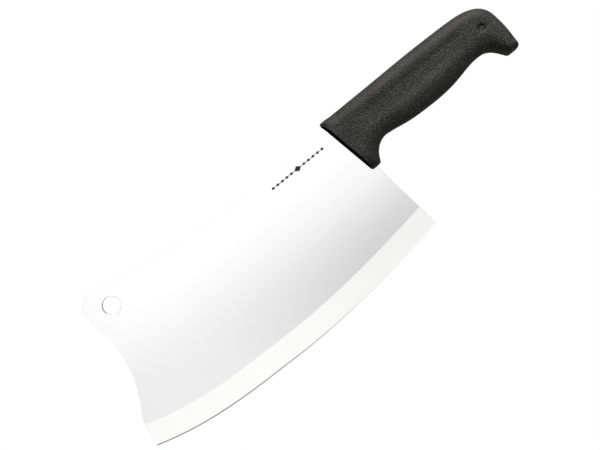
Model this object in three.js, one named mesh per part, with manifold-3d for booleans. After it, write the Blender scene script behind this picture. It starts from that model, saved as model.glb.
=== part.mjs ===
// A butcher's cleaver with a moulded handle, lying on its side. Millimetres, +Z up.
//
// It is drawn from the handle's top front corner: X runs towards the butt, Y towards the spine, and
// Z up from the steel's middle plane. Three solids fit inside one another: the steel plate with its
// tang, a rigid core moulded round the tang, and a soft grip moulded round the core.
import * as THREE from 'three';
import { mergeVertices } from 'three/addons/utils/BufferGeometryUtils.js';
import Module from 'manifold-3d';

const GAP = 0.3; // between neighbouring solids
const CURVE_SEGMENTS = 14;

// Steel
const STEEL = 2.5;
const HANG_HOLE = { x: -189.2, y: -5.0, radius: 6.5 };
const BEVEL = { width: 16.5, shoulder: 0.7, shoulderHalf: 0.3, edgeHalf: 0.1 };
const HEEL = new THREE.Vector2(19.9, -102.3);
const TOE = new THREE.Vector2(-225.8, -99.4);
const ENTRY_TOP = [-0.3, -2.9];
const ENTRY_BOTTOM = [8.5, -46.5];
const TANG = { top: -7, bottom: -25, end: 118, holeRadius: 3.5, holes: [36, 68, 100] };

// Handle
const GRIP_HALF = 11.5; // half the thickness at the fullest place
const GRIP_ROUND = 8; // how deep the roundings go, and how far the back's reaches across the side
const BELLY_ROUND = 13; // how far the belly's rounding reaches across the side
const GRIP_LENGTH = 141;
const FRONT_LEAN = 1.5; // how far each side of the front face slopes back
const FRONT_ROUND = 0.4;
const LEAN_FADE = 8; // how far behind the front face its slope dies out
const HOOK_ROUND = 6;
const THINNING = 0.07; // how much thinner the ends are than the middle
// A shallow groove along each side: where its walls begin and end, back to belly and front to butt.
const GROOVE = { depth: 0.65, upper: [-13, -7.5], lower: [-25.5, -18.5], start: [23, 35], stop: [107, 117] };
const DIMPLE = { x: 126.3, y: -17.9, radius: 3.1, rim: 4.0, depth: 1.5 };
const CORE = { half: 8, bevel: 4 };
const ROUND_STEPS = 4;
const SIDE_STEPS = 6;

const wasm = await Module();
wasm.setup();

// ---------------------------------------------------------------- helpers

function solid(geometry) {
  const bare = new THREE.BufferGeometry();
  bare.setAttribute('position', geometry.getAttribute('position'));
  bare.setIndex(geometry.getIndex());
  const merged = mergeVertices(bare, 1e-4);
  return new wasm.Manifold(new wasm.Mesh({
    numProp: 3,
    vertProperties: new Float32Array(merged.getAttribute('position').array),
    triVerts: new Uint32Array(merged.getIndex().array),
  }));
}

function geometryOf(manifold) {
  const mesh = manifold.getMesh();
  const geometry = new THREE.BufferGeometry();
  geometry.setAttribute('position', new THREE.BufferAttribute(mesh.vertProperties, 3));
  geometry.setIndex(new THREE.BufferAttribute(mesh.triVerts, 1));
  geometry.computeVertexNormals();
  return geometry;
}

// A shape pulled up and down from the middle plane, `grow` larger all round.
function slab(shape, thickness, grow = 0) {
  const geometry = new THREE.ExtrudeGeometry(shape, {
    depth: thickness,
    curveSegments: CURVE_SEGMENTS,
    bevelEnabled: grow > 0,
    bevelThickness: grow,
    bevelSize: grow,
    bevelSegments: 1,
  });
  return solid(geometry.translate(0, 0, -thickness / 2));
}

function smoothstep(value, start, end) {
  return THREE.MathUtils.smoothstep(value, start, end);
}

// ---------------------------------------------------------------- steel

const edgeCurves = [
  new THREE.CubicBezierCurve(
    TOE,
    new THREE.Vector2(-184.9, -112.6),
    new THREE.Vector2(-148.1, -112.0),
    new THREE.Vector2(-110, -113.1),
  ),
  new THREE.CubicBezierCurve(
    new THREE.Vector2(-110, -113.1),
    new THREE.Vector2(-70.4, -114.2),
    new THREE.Vector2(-20.3, -109.1),
    HEEL,
  ),
];

function circle(x, y, radius) {
  return new THREE.Path().absarc(x, y, radius, 0, 2 * Math.PI, true);
}

function heelLineAt(y) {
  return 12.9 - (y + 48) * 0.129;
}

// The blade up to the line where it enters the handle.
function bladeOutline() {
  const tipRadius = 9.5;
  const shape = new THREE.Shape();
  shape.moveTo(...ENTRY_TOP);
  shape.bezierCurveTo(-19.2, -1.8, -48.2, -4.7, -69, -4.6);
  shape.bezierCurveTo(-110.4, -4.5, -155.2, 2.0, -195.6, 10.6);
  shape.absarc(-197.8, 1.5, tipRadius, 0.425 * Math.PI, Math.PI, false);
  shape.bezierCurveTo(-207.2, -8, -204.6, -14.5, -204.6, -24.7);
  shape.bezierCurveTo(-204.6, -46, -208.4, -57.6, -221.9, -79);
  shape.lineTo(TOE.x, TOE.y);
  shape.curves.push(...edgeCurves);
  shape.currentPoint.copy(HEEL);
  shape.lineTo(heelLineAt(ENTRY_BOTTOM[1]), ENTRY_BOTTOM[1]);
  shape.lineTo(...ENTRY_BOTTOM);
  shape.holes.push(circle(HANG_HOLE.x, HANG_HOLE.y, HANG_HOLE.radius));
  return shape;
}

// The rest of the same plate, inside the handle.
function tangOutline() {
  const round = (TANG.top - TANG.bottom) / 2;
  const middle = TANG.bottom + round;
  const corner = 4;
  const shape = new THREE.Shape();
  shape.moveTo(...ENTRY_TOP);
  shape.lineTo(...ENTRY_BOTTOM);
  shape.lineTo(heelLineAt(ENTRY_BOTTOM[1]), ENTRY_BOTTOM[1]);
  shape.lineTo(heelLineAt(TANG.bottom - corner), TANG.bottom - corner);
  const inside = heelLineAt(TANG.bottom);
  shape.quadraticCurveTo(inside, TANG.bottom, inside + corner, TANG.bottom);
  shape.lineTo(TANG.end - round, TANG.bottom);
  shape.absarc(TANG.end - round, middle, round, -Math.PI / 2, Math.PI / 2, false);
  shape.lineTo(corner * 2, TANG.top);
  shape.quadraticCurveTo(corner, TANG.top, corner, ENTRY_TOP[1]);
  for (const x of TANG.holes) {
    shape.holes.push(circle(x, middle, TANG.holeRadius));
  }
  return shape;
}

function plate(grow = 0) {
  return slab(bladeOutline(), STEEL, grow).add(slab(tangOutline(), STEEL, grow));
}

// Points along the cutting edge with the direction into the steel, carried on past both ends.
function edgeStations() {
  const stations = [];
  for (const curve of edgeCurves) {
    for (let i = 0; i <= CURVE_SEGMENTS; i += 1) {
      const tangent = curve.getTangent(i / CURVE_SEGMENTS);
      const inward = new THREE.Vector2(-tangent.y, tangent.x);
      stations.push({ point: curve.getPoint(i / CURVE_SEGMENTS), tangent, inward });
    }
  }
  stations.splice(CURVE_SEGMENTS, 1);
  const beyond = ({ point, tangent, inward }, length) => (
    { point: point.clone().addScaledVector(tangent, length), tangent, inward }
  );
  const past = 8;
  return [beyond(stations[0], -past), ...stations, beyond(stations.at(-1), past)];
}

// A bar swept along the cutting edge. The corners of its section are distances into the steel and up.
function edgeBar(section) {
  const corners = section.map(([depth, z]) => new THREE.Vector2(depth, z));
  if (THREE.ShapeUtils.isClockWise(corners)) corners.reverse();
  const stations = edgeStations();
  const points = stations.flatMap(({ point, inward }) => corners.map((corner) => {
    const { x, y } = point.clone().addScaledVector(inward, corner.x);
    return new THREE.Vector3(x, y, corner.y);
  }));
  const n = corners.length;
  const last = (stations.length - 1) * n;
  const index = [];
  for (let i = 0; i < last; i += n) {
    for (let j = 0; j < n; j += 1) {
      const a = i + j;
      const b = i + ((j + 1) % n);
      index.push(a, b, a + n, b, b + n, a + n);
    }
  }
  for (const [a, b, c] of THREE.ShapeUtils.triangulateShape(corners, [])) {
    index.push(a, c, b, last + a, last + b, last + c);
  }
  const geometry = new THREE.BufferGeometry().setFromPoints(points);
  geometry.setIndex(index);
  return geometry;
}

// What the grinder takes off one face: the broad bevel and the narrow final edge.
function groundAway(side) {
  const half = STEEL / 2;
  const clear = 2;
  const edgeSlope = (BEVEL.shoulderHalf - BEVEL.edgeHalf) / BEVEL.shoulder;
  return solid(edgeBar([
    [-clear, side * (BEVEL.edgeHalf - clear * edgeSlope)],
    [BEVEL.shoulder, side * BEVEL.shoulderHalf],
    [BEVEL.width, side * half],
    [BEVEL.width, side * (half + clear)],
    [-clear, side * (half + clear)],
  ]));
}

function bladeGeometry() {
  return geometryOf(plate().subtract(groundAway(1)).subtract(groundAway(-1)));
}

// ---------------------------------------------------------------- handle

const at = (x, y) => new THREE.Vector2(x, y);
const bend = (...points) => new THREE.CubicBezierCurve(...points.map(([x, y]) => at(x, y)));

// The handle's back and belly, from the front face to the tip of the hook. Stretches with the same
// place in the two lists lie opposite each other and are divided into the same number of steps.
const BACK = [
  bend([-0.2, -1.2], [-0.4, 0.5], [-0.1, 1.1], [0.9, 1.1]),
  bend([0.9, 1.1], [4.5, 1.1], [6.5, 1], [8.9, 0.7]),
  bend([8.9, 0.7], [16.8, 0.7], [24.6, 0.7], [32.5, 0.7]),
  bend([32.5, 0.7], [45.5, 0.7], [58.4, 0.9], [70.8, 0.9]),
  bend([70.8, 0.9], [82.3, 0.9], [92.2, 0.6], [103.1, 0.3]),
  bend([103.1, 0.3], [118.5, -0.3], [137.7, 0], [139.9, -17.1]),
  bend([139.9, -17.1], [140.9, -25.1], [141.4, -28.9], [140.4, -39.9]),
  bend([140.4, -39.9], [140, -43.4], [137.5, -44.4], [135, -44.4]),
];
const BELLY = [
  bend([8.2, -44.6], [8.4, -45.6], [9.2, -46.2], [10.9, -46.2]),
  bend([10.9, -46.2], [13.8, -46.3], [16.5, -46.1], [16.9, -44.7]),
  bend([16.9, -44.7], [21.3, -32.8], [31.7, -33], [32.5, -33.1]),
  bend([32.5, -33.1], [49.4, -34.9], [44.8, -36.5], [70.8, -36.9]),
  bend([70.8, -36.9], [95.9, -37.3], [99.9, -31.5], [116.1, -32]),
  bend([116.1, -32], [120.6, -32.1], [124.2, -34.9], [126.5, -37.6]),
  bend([126.5, -37.6], [128.3, -39.7], [129.2, -41.1], [130.4, -42.5]),
  bend([130.4, -42.5], [131.2, -43.5], [132.2, -44.4], [133.6, -44.4]),
];
const STEPS = [3, 3, 6, 9, 9, 12, 6, 5];

function chain(curves) {
  return curves.flatMap((curve, i) => curve.getSpacedPoints(STEPS[i]).slice(i > 0 ? 1 : 0));
}

function distanceTo(line, point) {
  const nearest = new THREE.Vector3();
  const away = new THREE.Vector3(point.x, point.y, 0);
  let least = Infinity;
  for (let i = 0; i + 1 < line.length; i += 1) {
    const from = new THREE.Vector3(line[i].x, line[i].y, 0);
    const to = new THREE.Vector3(line[i + 1].x, line[i + 1].y, 0);
    new THREE.Line3(from, to).closestPointToPoint(away, true, nearest);
    least = Math.min(least, nearest.distanceTo(away));
  }
  return least;
}

// How high a rounded edge stands at a distance from its foot, both as shares of its radius.
function rounded(distance) {
  const left = 1 - Math.min(distance, 1);
  return Math.sqrt(1 - left * left);
}

// Points straight across the handle: closely stepped in both roundings and evenly between them.
function rung(from, to) {
  const length = from.distanceTo(to);
  const near = Math.min(GRIP_ROUND, 0.36 * length);
  const far = Math.min(BELLY_ROUND, 0.46 * length);
  const places = [];
  const ends = [];
  for (let i = 0; i < ROUND_STEPS; i += 1) {
    const share = 1 - Math.cos((i / ROUND_STEPS) * (Math.PI / 2));
    places.push(near * share);
    ends.unshift(length - far * share);
  }
  for (let i = 0; i <= SIDE_STEPS; i += 1) {
    places.push(near + ((length - near - far) * i) / SIDE_STEPS);
  }
  return [...places, ...ends].map((place) => from.clone().lerp(to, place / length));
}

function grooveDepth(x, y) {
  const along = smoothstep(x, ...GROOVE.start) * (1 - smoothstep(x, ...GROOVE.stop));
  const across = smoothstep(y, ...GROOVE.lower) * (1 - smoothstep(y, ...GROOVE.upper));
  return GROOVE.depth * along * across;
}

// The handle's thickness at a place, as a share of its fullest thickness.
function fullness(x, y) {
  const belly = Math.sin(Math.PI * THREE.MathUtils.clamp(x / GRIP_LENGTH, 0, 1));
  return 1 - THINNING * (1 - belly) - grooveDepth(x, y) / GRIP_HALF;
}

// One side of the handle as rows of points from its back to its belly.
function gripSheet() {
  const back = chain(BACK);
  const belly = chain(BELLY);
  const front = [back[0], belly[0]];
  const tip = [back.at(-1), belly.at(-1)];
  return back.map((start, i) => {
    const row = rung(start, belly[i]);
    const below = row.map((point) => distanceTo(back, point));
    const above = row.map((point) => distanceTo(belly, point));
    const room = Math.max(...below.map((distance, j) => Math.min(distance, above[j])));
    const near = Math.min(GRIP_ROUND, 0.8 * room);
    const far = Math.min(BELLY_ROUND, 0.95 * room);
    return row.map((point, j) => {
      const behindFront = distanceTo(front, point);
      const across = rounded(below[j] / near) * rounded(above[j] / far);
      const rise = across * rounded(distanceTo(tip, point) / HOOK_ROUND);
      const edge = FRONT_ROUND * Math.max(0, 1 - behindFront / FRONT_ROUND);
      const height = GRIP_HALF - GRIP_ROUND * (1 - rise) - edge * rise;
      const lean = FRONT_LEAN * (height / GRIP_HALF) * Math.max(0, 1 - behindFront / LEAN_FADE);
      return new THREE.Vector3(point.x + lean, point.y, height * fullness(point.x, point.y));
    });
  });
}

// Both sides of the handle, joined by a wall that runs round the outline in the middle plane.
function gripBody() {
  const sheet = gripSheet();
  const underside = sheet.map((row) => row.map(({ x, y, z }) => new THREE.Vector3(x, y, -z)));
  const corners = [];
  const quad = (a, b, c, d) => corners.push(a, b, c, a, c, d);
  const last = sheet.length - 1;
  const width = sheet[0].length - 1;
  for (let i = 0; i < last; i += 1) {
    for (let j = 0; j < width; j += 1) {
      quad(sheet[i][j], sheet[i][j + 1], sheet[i + 1][j + 1], sheet[i + 1][j]);
      quad(underside[i][j], underside[i + 1][j], underside[i + 1][j + 1], underside[i][j + 1]);
    }
  }
  const rim = [];
  for (let i = 0; i < last; i += 1) rim.push([i, 0]);
  for (let j = 0; j < width; j += 1) rim.push([last, j]);
  for (let i = last; i > 0; i -= 1) rim.push([i, width]);
  for (let j = width; j > 0; j -= 1) rim.push([0, j]);
  const back = chain(BACK);
  const belly = chain(BELLY);
  const rows = back.map((start, i) => rung(start, belly[i]));
  const middle = ([i, j]) => new THREE.Vector3(rows[i][j].x, rows[i][j].y, 0);
  rim.forEach(([i, j], k) => {
    const [m, n] = rim[(k + 1) % rim.length];
    quad(sheet[i][j], sheet[m][n], middle([m, n]), middle([i, j]));
    quad(middle([i, j]), middle([m, n]), underside[m][n], underside[i][j]);
  });
  return solid(new THREE.BufferGeometry().setFromPoints(corners));
}

// A shallow round pit with a soft rim, cut into one side of the butt.
function dimple(side) {
  const profile = [
    [0, -DIMPLE.depth],
    [DIMPLE.radius * 0.55, -DIMPLE.depth * 0.8],
    [DIMPLE.radius, -DIMPLE.depth * 0.2],
    [DIMPLE.rim, 0.1],
    [DIMPLE.rim, 2],
    [0, 2],
  ].map(([radius, height]) => new THREE.Vector2(radius, height));
  const geometry = new THREE.LatheGeometry(profile, 20).rotateX((side * Math.PI) / 2);
  const surface = side * GRIP_HALF * fullness(DIMPLE.x, DIMPLE.y);
  return solid(geometry.translate(DIMPLE.x, DIMPLE.y, surface));
}

function coreOutline() {
  const shape = new THREE.Shape();
  shape.moveTo(6.1, -2.9);
  shape.lineTo(11.4, -30);
  shape.lineTo(30, -29.6);
  shape.bezierCurveTo(50, -31.6, 48, -33.3, 71.5, -33.6);
  shape.bezierCurveTo(96, -33.9, 102, -28.6, 117, -29);
  shape.bezierCurveTo(130, -29.3, 137.8, -32, 137.8, -22);
  shape.bezierCurveTo(137.8, -4, 120, -3.4, 104, -2.9);
  return shape;
}

function coreSlab(grow) {
  const depth = 2 * (CORE.half - CORE.bevel);
  const geometry = new THREE.ExtrudeGeometry(coreOutline(), {
    depth,
    curveSegments: 8,
    bevelThickness: CORE.bevel + grow,
    bevelSize: CORE.bevel,
    bevelOffset: grow - CORE.bevel,
    bevelSegments: 3,
  });
  return solid(geometry.translate(0, 0, -depth / 2));
}

function coreGeometry(steelRoom) {
  return geometryOf(coreSlab(0).subtract(steelRoom));
}

function gripGeometry(steelRoom) {
  return geometryOf(gripBody()
    .subtract(coreSlab(GAP))
    .subtract(steelRoom)
    .subtract(dimple(1))
    .subtract(dimple(-1)));
}

// ---------------------------------------------------------------- assembly

const polishedSteel = new THREE.MeshStandardMaterial({ color: 0xcfd1d2, metalness: 1, roughness: 0.22 });
const corePlastic = new THREE.MeshStandardMaterial({ color: 0x161616, metalness: 0, roughness: 0.5 });
const softGrip = new THREE.MeshStandardMaterial({ color: 0x3b3b39, metalness: 0, roughness: 0.85 });

function named(name, geometry, material) {
  const mesh = new THREE.Mesh(geometry, material);
  mesh.name = name;
  return mesh;
}

const steelRoom = plate(GAP);
const laidFlat = new THREE.Group();
laidFlat.add(
  named('blade', bladeGeometry(), polishedSteel),
  named('handle_core', coreGeometry(steelRoom), corePlastic),
  named('handle_grip', gripGeometry(steelRoom), softGrip),
);

// The origin is under the middle of the cleaver's box, on the surface that it lies on.
const box = new THREE.Box3().setFromObject(laidFlat);
const middle = box.getCenter(new THREE.Vector3());
laidFlat.position.set(-middle.x, -middle.y, -box.min.z);

const cleaver = new THREE.Group();
cleaver.add(laidFlat);

export default cleaver;
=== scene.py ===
"""A butcher's cleaver lying on its side: a ground steel plate with a pebbled grip moulded on its tang.

Shapes are drawn in millimetres from the handle's top front corner, X towards the butt and Y towards
the spine, as the CAD model draws them. place() carries them to the frame, in metres.
"""
import math

import bmesh
import bpy
import numpy as np
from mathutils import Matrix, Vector
from mathutils.geometry import delaunay_2d_cdt


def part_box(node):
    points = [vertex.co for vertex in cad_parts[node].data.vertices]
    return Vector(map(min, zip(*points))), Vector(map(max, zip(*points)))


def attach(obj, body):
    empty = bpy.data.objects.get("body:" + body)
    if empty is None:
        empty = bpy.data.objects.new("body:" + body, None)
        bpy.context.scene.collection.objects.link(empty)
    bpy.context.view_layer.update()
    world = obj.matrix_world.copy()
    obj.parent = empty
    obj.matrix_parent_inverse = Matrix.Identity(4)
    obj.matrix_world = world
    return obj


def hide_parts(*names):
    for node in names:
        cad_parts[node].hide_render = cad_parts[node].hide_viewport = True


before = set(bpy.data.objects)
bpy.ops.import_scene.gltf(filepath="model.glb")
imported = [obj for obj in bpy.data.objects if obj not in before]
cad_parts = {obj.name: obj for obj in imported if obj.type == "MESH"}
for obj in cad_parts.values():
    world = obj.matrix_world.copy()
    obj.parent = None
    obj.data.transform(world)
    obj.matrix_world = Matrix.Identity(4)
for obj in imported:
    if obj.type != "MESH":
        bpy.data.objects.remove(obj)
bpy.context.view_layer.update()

MM = 0.001

# Steel, in millimetres
STEEL_HALF = 1.25  # half the plate's thickness
HANG_HOLE = (-189.2, -5.0, 6.5)  # its middle and its radius
BEVEL_WIDTH = 16.5
SHOULDER = 0.7  # width of the final edge
SHOULDER_HALF = 0.3  # half the thickness where the final edge starts
EDGE_HALF = 0.04  # half the thickness at the edge itself
ARRIS = 0.15  # rounding of the plate's other edges
HOLE_ARRIS = 0.2  # rounding of the holes' edges
HEEL = (19.9, -102.3)
TOE = (-225.8, -99.4)
TANG_TOP = -7.0
TANG_BOTTOM = -25.0
TANG_END = 118.0
TANG_HOLES = (36.0, 68.0, 100.0)
TANG_HOLE_RADIUS = 3.5
ENTRY_TOP = (0.2, -2.9)  # where the spine meets the handle
STEEL_SHARP = math.radians(1.2)  # the bevel's inner edge stays crisp at this angle or more
GRID_STEP = 6.0  # between the loose points of the plate's flats
CLEAR_OF_EDGES = 0.08  # loose points nearer to an edge than this are left out

# An etched ornament on the upper flat: a lozenge with five smaller ones to each side, on a thin rule.
MARK_MIDDLE = (-30.6, -12.9)
MARK_RULE = (23.0, 0.2)  # half its length and half its width
LARGE_LOZENGE = (0.0, 3.0, 2.1)  # place along the rule, half length, half height
SMALL_LOZENGES = [(side * (5.5 + 4 * step), 1.5, 1.1) for side in (-1, 1) for step in range(5)]

# Handle, in millimetres
GRIP_HALF = 11.5  # half the thickness at the fullest place
GRIP_ROUND = 8.0  # how deep the roundings go, and how far the back's reaches across the side
BELLY_ROUND = 13.0  # how far the belly's rounding reaches across the side
GRIP_LENGTH = 141.0
FRONT_LEAN = 1.5  # how far each side of the front face slopes back
FRONT_ROUND = 0.4
LEAN_FADE = 8.0  # how far behind the front face its slope dies out
HOOK_ROUND = 6.0
THINNING = 0.07  # how much thinner the ends are than the middle
GROOVE_DEPTH = 0.65
GROOVE_UPPER = (-13.0, -7.5)  # the groove's walls, from the back to the belly
GROOVE_LOWER = (-25.5, -18.5)
GROOVE_START = (23.0, 35.0)
GROOVE_STOP = (107.0, 117.0)
DIMPLE = (126.3, -17.9)
DIMPLE_RADIUS = 3.1
DIMPLE_RIM = 4.0
DIMPLE_DEPTH = 1.5
GRIP_TOP = 1.1  # the outline's highest Y
GRIP_SHARP = math.radians(40)

# The camera stands square above the blade, turned so that the handle points up and to the right.
CAMERA_TURN = math.radians(-39.2)
CAMERA_DISTANCE = 0.65  # metres
CAMERA_AIM = (-53.8, -43.9)  # drawn millimetres
VIEW_WIDTH = 0.4122  # metres of the blade's plane that the picture's width takes in
SENSOR = 36.0

blade_low, blade_high = (Vector(corner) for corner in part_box("blade"))
grip_high = Vector(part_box("handle_grip")[1])
DRAWN_FROM = Vector((
    blade_low.x - TOE[0] * MM,
    grip_high.y - GRIP_TOP * MM,
    (blade_low.z + blade_high.z) / 2,
))


def place(points):
    """Drawn millimetres to metres in the frame."""
    return np.asarray(points, float) * MM + np.array(DRAWN_FROM)


# ---------------------------------------------------------------- outlines


def bend(*corners, steps):
    """Evenly spaced points on a cubic curve, both ends included."""
    t = np.linspace(0, 1, 200)[:, None]
    a, b, c, d = (np.array(corner, float) for corner in corners)
    curve = (1 - t) ** 3 * a + 3 * (1 - t) ** 2 * t * b + 3 * (1 - t) * t**2 * c + t**3 * d
    run = np.r_[0, np.cumsum(np.hypot(*np.diff(curve, axis=0).T))]
    wanted = np.linspace(0, run[-1], steps + 1)
    return np.column_stack([np.interp(wanted, run, curve[:, axis]) for axis in (0, 1)])


def line(start, end, steps):
    return np.linspace(start, end, steps + 1)


def arc(centre, radius, start, end, steps):
    turn = np.radians(np.linspace(start, end, steps + 1))
    return np.column_stack([centre[0] + radius * np.cos(turn), centre[1] + radius * np.sin(turn)])


def joined(*stretches):
    """One run of points from stretches that share their ends."""
    return np.vstack([stretches[0], *(stretch[1:] for stretch in stretches[1:])])


def distance_to(path, points):
    """The distance from each point to an open run of straight segments."""
    start, end = path[:-1], path[1:]
    along = end - start
    away = points[:, None, :] - start[None, :, :]
    share = (away * along).sum(2) / np.maximum((along**2).sum(1), 1e-12)
    nearest = start + np.clip(share, 0, 1)[:, :, None] * along
    return np.sqrt(((points[:, None, :] - nearest) ** 2).sum(2).min(1))


def smoothstep(value, start, end):
    share = np.clip((value - start) / (end - start), 0, 1)
    return share * share * (3 - 2 * share)


def rounded(distance):
    """How high a rounded edge stands at a distance from its foot, as shares of its radius."""
    left = 1 - np.clip(distance, 0, 1)
    return np.sqrt(1 - left * left)


def cutting_edge():
    return joined(
        bend(TOE, (-184.9, -112.6), (-148.1, -112.0), (-110, -113.1), steps=110),
        bend((-110, -113.1), (-70.4, -114.2), (-20.3, -109.1), HEEL, steps=120),
    )


def heel_line_at(y):
    """Where along X the straight heel is, at a place along Y."""
    return 12.9 - (y + 48) * 0.129


def plate_outline():
    """The rest of the plate's outline: up the heel, round the tang, and along the spine to the toe."""
    corner = 4.0
    tang_round = (TANG_TOP - TANG_BOTTOM) / 2
    middle = TANG_BOTTOM + tang_round
    inside = heel_line_at(TANG_BOTTOM)
    below = (heel_line_at(TANG_BOTTOM - corner), TANG_BOTTOM - corner)
    above = (corner, ENTRY_TOP[1])
    return joined(
        line(HEEL, below, 75),
        bend(below, (inside, TANG_BOTTOM - 1), (inside + 1, TANG_BOTTOM), (inside + corner, TANG_BOTTOM),
             steps=8),
        line((inside + corner, TANG_BOTTOM), (TANG_END - tang_round, TANG_BOTTOM), 60),
        arc((TANG_END - tang_round, middle), tang_round, -90, 90, 20),
        line((TANG_END - tang_round, TANG_TOP), (corner * 2, TANG_TOP), 60),
        bend((corner * 2, TANG_TOP), (corner + 1, TANG_TOP), (corner, TANG_TOP + 1), above, steps=8),
        line(above, ENTRY_TOP, 4),
        bend(ENTRY_TOP, (-19.2, -1.8), (-48.2, -4.7), (-69, -4.6), steps=60),
        bend((-69, -4.6), (-110.4, -4.5), (-155.2, 2.0), (-195.6, 10.6), steps=115),
        arc((-197.8, 1.5), 9.5, 76.5, 180, 20),
        bend((-207.3, 1.5), (-207.2, -8), (-204.6, -14.5), (-204.6, -24.7), steps=26),
        bend((-204.6, -24.7), (-204.6, -46), (-208.4, -57.6), (-221.9, -79), steps=58),
        line((-221.9, -79), TOE, 22),
    )


BACK = (
    ((-0.2, -1.2), (-0.4, 0.5), (-0.1, 1.1), (0.9, 1.1)),
    ((0.9, 1.1), (4.5, 1.1), (6.5, 1), (8.9, 0.7)),
    ((8.9, 0.7), (16.8, 0.7), (24.6, 0.7), (32.5, 0.7)),
    ((32.5, 0.7), (45.5, 0.7), (58.4, 0.9), (70.8, 0.9)),
    ((70.8, 0.9), (82.3, 0.9), (92.2, 0.6), (103.1, 0.3)),
    ((103.1, 0.3), (118.5, -0.3), (137.7, 0), (139.9, -17.1)),
    ((139.9, -17.1), (140.9, -25.1), (141.4, -28.9), (140.4, -39.9)),
    ((140.4, -39.9), (140, -43.4), (137.5, -44.4), (135, -44.4)),
)
BELLY = (
    ((8.2, -44.6), (8.4, -45.6), (9.2, -46.2), (10.9, -46.2)),
    ((10.9, -46.2), (13.8, -46.3), (16.5, -46.1), (16.9, -44.7)),
    ((16.9, -44.7), (21.3, -32.8), (31.7, -33), (32.5, -33.1)),
    ((32.5, -33.1), (49.4, -34.9), (44.8, -36.5), (70.8, -36.9)),
    ((70.8, -36.9), (95.9, -37.3), (99.9, -31.5), (116.1, -32)),
    ((116.1, -32), (120.6, -32.1), (124.2, -34.9), (126.5, -37.6)),
    ((126.5, -37.6), (128.3, -39.7), (129.2, -41.1), (130.4, -42.5)),
    ((130.4, -42.5), (131.2, -43.5), (132.2, -44.4), (133.6, -44.4)),
)
STRETCH_STEPS = (6, 10, 34, 56, 48, 110, 36, 16)


def chain(curves):
    return joined(*(bend(*curve, steps=steps) for curve, steps in zip(curves, STRETCH_STEPS)))


# ---------------------------------------------------------------- mesh helpers


def new_piece(name, points, faces, material):
    mesh = bpy.data.meshes.new(name)
    mesh.from_pydata([tuple(point) for point in points], [], faces)
    mesh.validate()
    mesh.shade_smooth()
    mesh.materials.append(material)
    piece = bpy.data.objects.new(name, mesh)
    bpy.context.scene.collection.objects.link(piece)
    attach(piece, "root")
    return piece


def mark_points(piece, name, values):
    """Stores one number at each point for the material to read."""
    layer = piece.data.attributes.new(name, "FLOAT", "POINT")
    layer.data.foreach_set("value", np.asarray(values, np.float32))


def mark_sharp(mesh, angle):
    """Keeps shading crisp where two faces meet at more than an angle."""
    work = bmesh.new()
    work.from_mesh(mesh)
    for edge in work.edges:
        edge.smooth = edge.calc_face_angle(0) < angle
    work.to_mesh(mesh)
    work.free()


# ---------------------------------------------------------------- blade


def circle(centre_x, centre_y, radius, steps=48):
    return arc((centre_x, centre_y), radius, 0, 360, steps)


def steel_height(points, edge, outline, holes):
    """Half the plate's thickness at each point: ground towards the edge, eased at the other arrises."""
    inward = distance_to(edge, points)
    bevel = SHOULDER_HALF + (STEEL_HALF - SHOULDER_HALF) * (inward - SHOULDER) / (BEVEL_WIDTH - SHOULDER)
    final = EDGE_HALF + (SHOULDER_HALF - EDGE_HALF) * inward / SHOULDER
    ground = np.where(inward < SHOULDER, final, np.minimum(bevel, STEEL_HALF))
    ease = ARRIS * (1 - rounded(distance_to(outline, points) / ARRIS))
    for hole in holes:
        ease = np.maximum(ease, HOLE_ARRIS * (1 - rounded(distance_to(hole, points) / HOLE_ARRIS)))
    return ground - np.minimum(ease, 0.7 * ground)


def offset(path, depth):
    """A run of points moved to its left."""
    along = np.gradient(path, axis=0)
    along /= np.hypot(*along.T)[:, None]
    return path + depth * np.column_stack([-along[:, 1], along[:, 0]])


def inside_outline(points, outline):
    """Which points lie inside a closed outline."""
    x, y = points[:, 0, None], points[:, 1, None]
    start, end = outline, np.roll(outline, -1, axis=0)
    crosses = (start[:, 1] > y) != (end[:, 1] > y)
    run = np.where(end[:, 1] == start[:, 1], 1e-12, end[:, 1] - start[:, 1])
    reach = start[:, 0] + (y - start[:, 1]) * (end[:, 0] - start[:, 0]) / run
    return ((crosses & (x < reach)).sum(1) % 2) == 1


def inside_steel(points, boundary, holes):
    """Which points lie inside the plate's boundary and outside its holes."""
    inside = inside_outline(points, boundary)
    for hole in holes:
        inside &= ~inside_outline(points, hole)
    return inside


def loose_points(edge, outline, holes):
    """Points inside the plate: rows beside its edges and its bevel, and a coarse grid."""
    depths = (0.5, SHOULDER, SHOULDER + 0.4, 5, 10.5, BEVEL_WIDTH - 0.6, BEVEL_WIDTH, BEVEL_WIDTH + 0.6)
    rows = [offset(edge, depth) for depth in depths]
    rows += [offset(outline, depth) for depth in (0.1, ARRIS)]
    rows += [offset(hole, -depth) for hole in holes for depth in (0.1, HOLE_ARRIS)]
    grid_x, grid_y = np.meshgrid(np.arange(-225, 118, GRID_STEP), np.arange(-112, 11, GRID_STEP))
    rows.append(np.column_stack([grid_x.ravel(), grid_y.ravel()]))
    loose = np.vstack(rows)
    loose = loose[inside_steel(loose, np.vstack([edge[:-1], outline[:-1]]), holes)]
    clear = np.min([distance_to(path, loose) for path in [outline, *holes, edge]], axis=0)
    return loose[clear > CLEAR_OF_EDGES]


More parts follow.
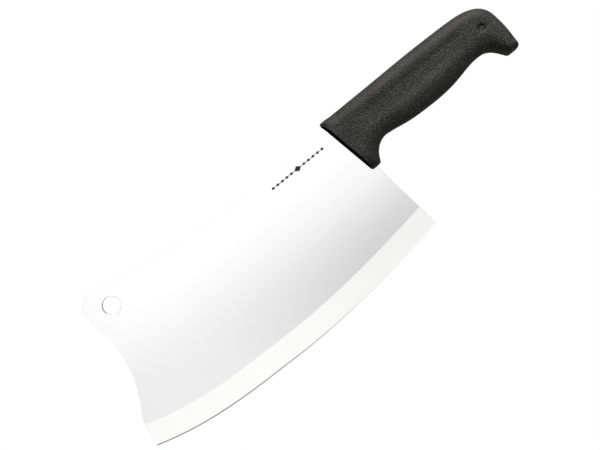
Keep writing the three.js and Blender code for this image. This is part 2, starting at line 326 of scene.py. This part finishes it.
def plate_triangles(edge, outline, holes):
    """The plate seen flat: its points, and the triangles between them."""
    boundary = np.vstack([edge[:-1], outline[:-1]])
    loops = [boundary] + [hole[:-1] for hole in holes]
    points = np.vstack(loops + [loose_points(edge, outline, holes)])
    segments = []
    first = 0
    for loop in loops:
        count = len(loop)
        segments += [(first + i, first + (i + 1) % count) for i in range(count)]
        first += count
    result = delaunay_2d_cdt([Vector(point) for point in points], segments, [], 1, 1e-5)
    flat = np.array([tuple(point) for point in result[0]])
    triangles = np.array([face for face in result[2]])
    kept = inside_steel(flat[triangles].mean(1), boundary, holes)
    return flat, triangles[kept]


def make_blade(material):
    edge = cutting_edge()
    outline = plate_outline()
    holes = [circle(*HANG_HOLE)] + [
        circle(x, (TANG_TOP + TANG_BOTTOM) / 2, TANG_HOLE_RADIUS) for x in TANG_HOLES
    ]
    flat, triangles = plate_triangles(edge, outline, holes)
    height = steel_height(flat, edge, outline, holes)
    upper = np.column_stack([flat, height])
    lower = np.column_stack([flat, -height])
    count = len(flat)
    faces = [tuple(int(v) for v in face) for face in triangles]
    faces += [tuple(int(v) + count for v in face[::-1]) for face in triangles]
    directed = {(face[i], face[(i + 1) % 3]) for face in triangles.tolist() for i in range(3)}
    for start, end in directed:
        if (end, start) not in directed:
            faces.append((end, start, start + count, end + count))
    piece = new_piece("cleaver_blade", place(np.vstack([upper, lower])), faces, material)
    into_bevel = BEVEL_WIDTH + 0.2 - distance_to(edge, flat)
    mark_points(piece, "ground", np.tile(smoothstep(into_bevel, 0.0, 0.4), 2))
    # Painted shade: the hanging hole's wall and its rim are marked here to be coloured dark
    mark_points(piece, "hole_wall_shade", np.tile(distance_to(holes[0], flat) < 0.02, 2))
    tidy_mesh(piece.data)
    mark_sharp(piece.data, STEEL_SHARP)
    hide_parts("blade")


def tidy_mesh(mesh):
    """Drops unused points and turns every face outwards."""
    work = bmesh.new()
    work.from_mesh(mesh)
    loose = [vertex for vertex in work.verts if not vertex.link_faces]
    bmesh.ops.delete(work, geom=loose, context="VERTS")
    bmesh.ops.recalc_face_normals(work, faces=work.faces)
    work.to_mesh(mesh)
    work.free()


# ---------------------------------------------------------------- handle


def rung(start, end, round_steps, side_steps):
    """Points straight across the handle, closely stepped in both roundings."""
    length = float(np.hypot(*(end - start)))
    near = min(GRIP_ROUND, 0.36 * length)
    far = min(BELLY_ROUND, 0.46 * length)
    shares = 1 - np.cos(np.linspace(0, math.pi / 2, round_steps + 1)[:-1])
    middle = np.linspace(near, length - far, side_steps + 1)
    places = np.r_[near * shares, middle, length - far * shares[::-1]]
    return start + (places / length)[:, None] * (end - start)


def groove_depth(x, y):
    along = smoothstep(x, *GROOVE_START) * (1 - smoothstep(x, *GROOVE_STOP))
    across = smoothstep(y, *GROOVE_LOWER) * (1 - smoothstep(y, *GROOVE_UPPER))
    return GROOVE_DEPTH * along * across


def dimple_depth(x, y):
    """A round pit with a soft rim near the butt."""
    out = np.hypot(x - DIMPLE[0], y - DIMPLE[1])
    pit = 1 - smoothstep(out, 0.55 * DIMPLE_RADIUS, 0.95 * DIMPLE_RADIUS)
    rim = 1 - smoothstep(out, DIMPLE_RADIUS, DIMPLE_RIM)
    return DIMPLE_DEPTH * (0.85 * pit + 0.15 * rim)


def fullness(x):
    """The handle's thickness at a place, as a share of its fullest thickness."""
    return 1 - THINNING * (1 - np.sin(math.pi * np.clip(x / GRIP_LENGTH, 0, 1)))


def grip_sheet(round_steps=14, side_steps=60):
    """One side of the handle as rows of points from its back to its belly."""
    back, belly = chain(BACK), chain(BELLY)
    front = np.array([back[0], belly[0]])
    tip = np.array([back[-1], belly[-1]])
    rows, feet = [], []
    for start, end in zip(back, belly):
        row = rung(start, end, round_steps, side_steps)
        below, above = distance_to(back, row), distance_to(belly, row)
        room = np.minimum(below, above).max()
        across = rounded(below / min(GRIP_ROUND, 0.8 * room)) * rounded(above / min(BELLY_ROUND, 0.95 * room))
        behind_front = distance_to(front, row)
        rise = across * rounded(distance_to(tip, row) / HOOK_ROUND)
        edge = FRONT_ROUND * (1 - rounded(behind_front / FRONT_ROUND))
        height = GRIP_HALF - GRIP_ROUND * (1 - rise) - edge * rise
        lean = FRONT_LEAN * (height / GRIP_HALF) * np.clip(1 - behind_front / LEAN_FADE, 0, None)
        x, y = row.T
        z = height * fullness(x) - groove_depth(x, y) - dimple_depth(x, y)
        rows.append(np.column_stack([x + lean, y, z]))
        feet.append(np.column_stack([x, y, np.zeros(len(x))]))
    return np.array(rows), np.array(feet)


def make_grip(material):
    """Both sides of the handle, joined by a wall that runs round the outline in the middle plane."""
    sheet, feet = grip_sheet()
    mirrored = sheet * (1, 1, -1)
    points = np.vstack([grid.reshape(-1, 3) for grid in (sheet, mirrored, feet)])
    rows, columns = sheet.shape[:2]
    last, width = rows - 1, columns - 1

    def upper(i, j):
        return i * columns + j

    def lower(i, j):
        return upper(i, j) + rows * columns

    def middle(i, j):
        return lower(i, j) + rows * columns

    faces = []
    for i in range(last):
        for j in range(width):
            corners = ((i, j), (i, j + 1), (i + 1, j + 1), (i + 1, j))
            faces.append([upper(*corner) for corner in corners])
            faces.append([lower(*corner) for corner in reversed(corners)])
    rim = [(i, 0) for i in range(last)] + [(last, j) for j in range(width)]
    rim += [(i, width) for i in range(last, 0, -1)] + [(0, j) for j in range(width, 0, -1)]
    for here, there in zip(rim, rim[1:] + rim[:1]):
        faces.append([upper(*here), upper(*there), middle(*there), middle(*here)])
        faces.append([middle(*here), middle(*there), lower(*there), lower(*here)])
    piece = new_piece("cleaver_grip", place(points), faces, material)
    # The front row of points carries the front face's painted shade
    front_shade_rows = np.zeros((rows, columns))
    front_shade_rows[0] = 1
    mark_points(piece, "front", np.tile(front_shade_rows.ravel(), 3))
    tidy_mesh(piece.data)
    mark_sharp(piece.data, GRIP_SHARP)
    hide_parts("handle_grip")


# ---------------------------------------------------------------- materials


class Nodes:
    """A short way to add linked nodes to the tree of a material or of the world."""

    def __init__(self, tree):
        self.tree = tree

    def add(self, kind, inputs=None, **settings):
        node = self.tree.nodes.new(kind)
        for key, value in settings.items():
            setattr(node, key, value)
        for key, value in (inputs or {}).items():
            if isinstance(value, bpy.types.NodeSocket):
                self.tree.links.new(value, node.inputs[key])
            else:
                node.inputs[key].default_value = value
        return node

    def math(self, operation, first, second=0.0):
        return self.add("ShaderNodeMath", {0: first, 1: second}, operation=operation).outputs[0]

    def scaled(self, value, factor, start):
        """A value times a factor, above a starting level."""
        inputs = {0: value, 1: factor, 2: start}
        return self.add("ShaderNodeMath", inputs, operation="MULTIPLY_ADD").outputs[0]

    def between(self, value, start, end):
        """From nought to one as the value goes from start to end, eased at both."""
        inputs = {0: value, 1: start, 2: end}
        return self.add("ShaderNodeMapRange", inputs, interpolation_type="SMOOTHSTEP").outputs["Result"]

    def stored(self, name):
        return self.add("ShaderNodeAttribute", attribute_name=name).outputs["Fac"]

    def noise(self, vector, scale, detail=2.0, roughness=0.5):
        inputs = {"Vector": vector, "Scale": scale, "Detail": detail, "Roughness": roughness}
        return self.add("ShaderNodeTexNoise", inputs).outputs["Fac"]

    def ramp(self, factor, stops):
        node = self.add("ShaderNodeValToRGB", {"Fac": factor})
        elements = node.color_ramp.elements
        while len(elements) < len(stops):
            elements.new(0.5)
        for element, (position, colour) in zip(elements, stops):
            element.position = position
            element.color = (*colour, 1)
        return node.outputs["Color"]

    def blend(self, first, second, share):
        node = self.add("ShaderNodeMix", {0: share, 6: first, 7: second}, data_type="RGBA")
        return node.outputs[2]

    def stretched(self, vector, scale):
        return self.add("ShaderNodeMapping", {"Vector": vector, "Scale": scale}).outputs["Vector"]


def new_material(name):
    material = bpy.data.materials.new(name)
    material.use_nodes = True
    nodes = Nodes(material.node_tree)
    shader = material.node_tree.nodes["Principled BSDF"]
    where = nodes.add("ShaderNodeTexCoord").outputs["Object"]
    return material, nodes, shader, where


def link(nodes, output, shader, socket):
    nodes.tree.links.new(output, shader.inputs[socket])


def etched_mask(nodes, where):
    """One inside the ornament and zero elsewhere."""
    middle = place([(*MARK_MIDDLE, 0)])[0]
    away = nodes.add("ShaderNodeVectorMath", {0: where, 1: middle}, operation="SUBTRACT")
    x, y, z = nodes.add("ShaderNodeSeparateXYZ", {0: away.outputs["Vector"]}).outputs
    side = nodes.math("ABSOLUTE", y)
    length, width = (half * MM for half in MARK_RULE)
    within_length = nodes.math("LESS_THAN", nodes.math("ABSOLUTE", x), length)
    mask = nodes.math("MULTIPLY", within_length, nodes.math("LESS_THAN", side, width))
    for at, length, height in [LARGE_LOZENGE, *SMALL_LOZENGES]:
        out = nodes.math("ABSOLUTE", nodes.math("SUBTRACT", x, at * MM))
        along = nodes.math("DIVIDE", out, length * MM)
        across = nodes.math("DIVIDE", side, height * MM)
        spread = nodes.math("ADD", along, across)
        inside = nodes.math("LESS_THAN", spread, 1.0)
        mask = nodes.math("MAXIMUM", mask, inside)
    return nodes.math("MULTIPLY", mask, nodes.math("GREATER_THAN", z, 0.0))


def steel_material():
    """Polished plate with faint lengthwise lines, cross lines on the ground bevel, an etched mark, and
    painted shade darkening the hanging hole's wall.
    """
    material, nodes, shader, where = new_material("polished_steel")
    ground = nodes.stored("ground")
    along = nodes.noise(nodes.stretched(where, (40, 2400, 40)), 1.0, 3.0)
    across = nodes.noise(nodes.stretched(where, (2000, 40, 40)), 1.0, 3.0)
    lines = nodes.add("ShaderNodeMix", {"Factor": ground, "A": along, "B": across}, data_type="FLOAT")
    cloud = nodes.noise(where, 22.0, 3.0)
    level = nodes.math("ADD", lines.outputs[0], nodes.math("MULTIPLY", cloud, 0.5))
    plate = nodes.ramp(level, ((0.5, (0.893, 0.893, 0.894)), (1.0, (0.917, 0.917, 0.918))))
    bevel = nodes.ramp(level, ((0.5, (0.875, 0.871, 0.86)), (1.0, (0.9, 0.896, 0.885))))
    etched = etched_mask(nodes, where)
    # Painted shade: the hanging hole's wall is coloured near black where shade falls inside the hole
    hole_wall_shade = nodes.stored("hole_wall_shade")
    tone = nodes.blend(nodes.blend(plate, bevel, ground), (0.08, 0.08, 0.08, 1), hole_wall_shade)
    tone = nodes.blend(tone, (0.02, 0.02, 0.02, 1), etched)
    link(nodes, tone, shader, "Base Color")
    smooth = nodes.scaled(lines.outputs[0], 0.06, 0.08)
    worn = nodes.math("ADD", nodes.math("MULTIPLY", ground, 0.06), nodes.math("MULTIPLY", etched, 0.35))
    link(nodes, nodes.math("ADD", smooth, worn), shader, "Roughness")
    bump = nodes.add("ShaderNodeBump", {"Height": lines.outputs[0], "Strength": 0.03, "Distance": 0.0001})
    link(nodes, bump.outputs["Normal"], shader, "Normal")
    shader.inputs["Metallic"].default_value = 1.0
    return material


def grip_material():
    """Black soft plastic with a fine pebbled grain and faint broad mottling; the front face is painted near
    black as shade, and matt.
    """
    material, nodes, shader, where = new_material("pebbled_grip")
    cells = nodes.add("ShaderNodeTexVoronoi", {"Vector": where, "Scale": 900.0}, feature="F1")
    fine = nodes.noise(where, 1500.0, 2.0)
    broad = nodes.noise(where, 60.0, 3.0)
    grain = nodes.math("ADD", cells.outputs["Distance"], nodes.math("MULTIPLY", fine, 0.7))
    speckle = nodes.math("ADD", grain, nodes.math("MULTIPLY", broad, 0.4))
    tone = nodes.ramp(speckle, (
        (0.50, (0.040, 0.0395, 0.0365)),
        (0.85, (0.014, 0.0138, 0.0125)),
        (1.0, (0.004, 0.004, 0.0035)),
    ))
    # Painted shade: the front face is coloured near black, and below its sheen is turned off, so it reads as
    # a face in shade
    front = nodes.stored("front")
    tone = nodes.blend(tone, (0.003, 0.003, 0.003, 1), front)
    link(nodes, tone, shader, "Base Color")
    link(nodes, nodes.scaled(broad, 0.14, 0.50), shader, "Roughness")
    level = nodes.math("MULTIPLY", nodes.math("SUBTRACT", 1.0, front), 0.2)
    link(nodes, level, shader, "Specular IOR Level")
    bump = nodes.add("ShaderNodeBump", {"Height": grain, "Strength": 1.0, "Distance": 0.00025}, invert=True)
    link(nodes, bump.outputs["Normal"], shader, "Normal")
    shader.inputs["Specular Tint"].default_value = (1.0, 0.985, 0.945, 1)
    return material


def core_material():
    """Hard moulded plastic with a faint flow mottle."""
    material, nodes, shader, where = new_material("core_plastic")
    mottle = nodes.noise(where, 90.0, 4.0)
    tone = nodes.ramp(mottle, ((0.35, (0.016, 0.016, 0.016)), (0.65, (0.026, 0.026, 0.026))))
    link(nodes, tone, shader, "Base Color")
    bump = nodes.add("ShaderNodeBump", {"Height": mottle, "Strength": 0.2, "Distance": 0.0001})
    link(nodes, bump.outputs["Normal"], shader, "Normal")
    shader.inputs["Roughness"].default_value = 0.45
    return material


# ---------------------------------------------------------------- stage


def make_floor():
    reach = 3.0
    mesh = bpy.data.meshes.new("floor")
    corners = [(-reach, -reach), (reach, -reach), (reach, reach), (-reach, reach)]
    mesh.from_pydata([(x, y, -0.0005) for x, y in corners], [], [(0, 1, 2, 3)])
    floor = bpy.data.objects.new("floor", mesh)
    bpy.context.scene.collection.objects.link(floor)
    material = bpy.data.materials.new("floor_white")
    material.use_nodes = True
    nodes = Nodes(material.node_tree)
    shader = material.node_tree.nodes["Principled BSDF"]
    shader.inputs["Base Color"].default_value = (0.35, 0.35, 0.35, 1)
    shader.inputs["Roughness"].default_value = 0.9
    seen = nodes.add("ShaderNodeLightPath").outputs["Is Camera Ray"]
    glow = nodes.add("ShaderNodeEmission", {"Color": (1, 1, 1, 1), "Strength": 1.0})
    mix = nodes.add("ShaderNodeMixShader", {0: seen, 1: shader.outputs[0], 2: glow.outputs[0]})
    output = material.node_tree.nodes["Material Output"]
    material.node_tree.links.new(mix.outputs[0], output.inputs["Surface"])
    mesh.materials.append(material)


def panel(nodes, direction, towards, outer, inner, strength):
    """A round panel of light: full inside one angle from its middle, and gone outside another."""
    unit = Vector(towards).normalized()
    facing = nodes.add("ShaderNodeVectorMath", {0: direction, 1: unit}, operation="DOT_PRODUCT")
    limits = (math.cos(math.radians(angle)) for angle in (outer, inner))
    share = nodes.between(facing.outputs["Value"], *limits)
    return nodes.math("MULTIPLY", share, strength)


def overhead_shade(nodes, direction):
    """How much darker the overhead panel is in each direction, by the slopes from straight up."""
    x, y, z = nodes.add("ShaderNodeSeparateXYZ", {0: direction}).outputs
    leaning_x = nodes.math("DIVIDE", x, z)
    leaning_y = nodes.math("DIVIDE", y, z)

    def times(first, second):
        return nodes.math("MULTIPLY", first, second)

    rightward = nodes.between(leaning_x, -0.18, 0.08)
    shallow_strength = nodes.math("SUBTRACT", 0.2, times(rightward, 0.09))
    shallow = times(nodes.between(leaning_y, 0.035, -0.03), shallow_strength)
    deep = times(nodes.between(leaning_y, 0.0, -0.075), times(rightward, 0.38))
    before_bevel = nodes.between(leaning_y, -0.155, -0.105)
    flats = times(before_bevel, nodes.math("ADD", shallow, deep))
    heel_corner = times(nodes.between(leaning_x, -0.12, 0.14), 0.15)
    bevel = times(nodes.between(leaning_y, -0.13, -0.2), heel_corner)
    tip_corner = times(nodes.between(leaning_y, -0.06, 0.03), 0.09)
    tip = times(nodes.between(leaning_x, -0.18, -0.27), tip_corner)
    return nodes.math("ADD", nodes.math("ADD", flats, bevel), tip)


def make_world():
    """A studio of soft round panels: one overhead, a strong key beyond the spine, and two weaker ones.

    The flat of the blade mirrors the overhead panel, whose darker parts shade it towards the heel.
    """
    world = bpy.data.worlds.new("studio")
    bpy.context.scene.world = world
    world.use_nodes = True
    nodes = Nodes(world.node_tree)
    world.node_tree.nodes.clear()
    direction = nodes.add("ShaderNodeTexCoord").outputs["Generated"]
    overhead = nodes.math("MULTIPLY", panel(nodes, direction, (-0.08, -0.05, 1), 34, 19, 1.02),
                          nodes.math("SUBTRACT", 1.0, overhead_shade(nodes, direction)))
    # Where each panel stands, its outer and inner angles in degrees, and its strength
    panels = (
        panel(nodes, direction, (0.45, 0.75, 0.62), 37, 22, 11.0),
        panel(nodes, direction, (0.4, -0.65, 0.66), 34, 12, 1.0),
        panel(nodes, direction, (-0.7, 0.5, 0.4), 45, 12, 0.4),
    )
    strength = nodes.math("ADD", overhead, 0.11)
    for light in panels:
        strength = nodes.math("ADD", strength, light)
    seen = nodes.add("ShaderNodeLightPath").outputs["Is Camera Ray"]
    lit = nodes.add("ShaderNodeBackground", {"Color": (1, 1, 1, 1), "Strength": strength})
    plain = nodes.add("ShaderNodeBackground", {"Color": (1, 1, 1, 1), "Strength": 1.0})
    mix = nodes.add("ShaderNodeMixShader", {0: seen, 1: lit.outputs[0], 2: plain.outputs[0]})
    nodes.add("ShaderNodeOutputWorld", {"Surface": mix.outputs[0]})


def make_camera():
    data = bpy.data.cameras.new("camera")
    data.sensor_width = SENSOR
    data.lens = SENSOR * CAMERA_DISTANCE / VIEW_WIDTH
    camera = bpy.data.objects.new("camera", data)
    above = place([(*CAMERA_AIM, STEEL_HALF)])[0]
    camera.location = (above[0], above[1], above[2] + CAMERA_DISTANCE)
    camera.rotation_euler = (0, 0, CAMERA_TURN)
    bpy.context.scene.collection.objects.link(camera)
    bpy.context.scene.camera = camera


# ---------------------------------------------------------------- scene

make_camera()
make_world()
make_floor()
make_blade(steel_material())
make_grip(grip_material())
bpy.data.objects["handle_core"].material_slots[0].material = core_material()

bpy.context.scene.view_settings.view_transform = "Standard"
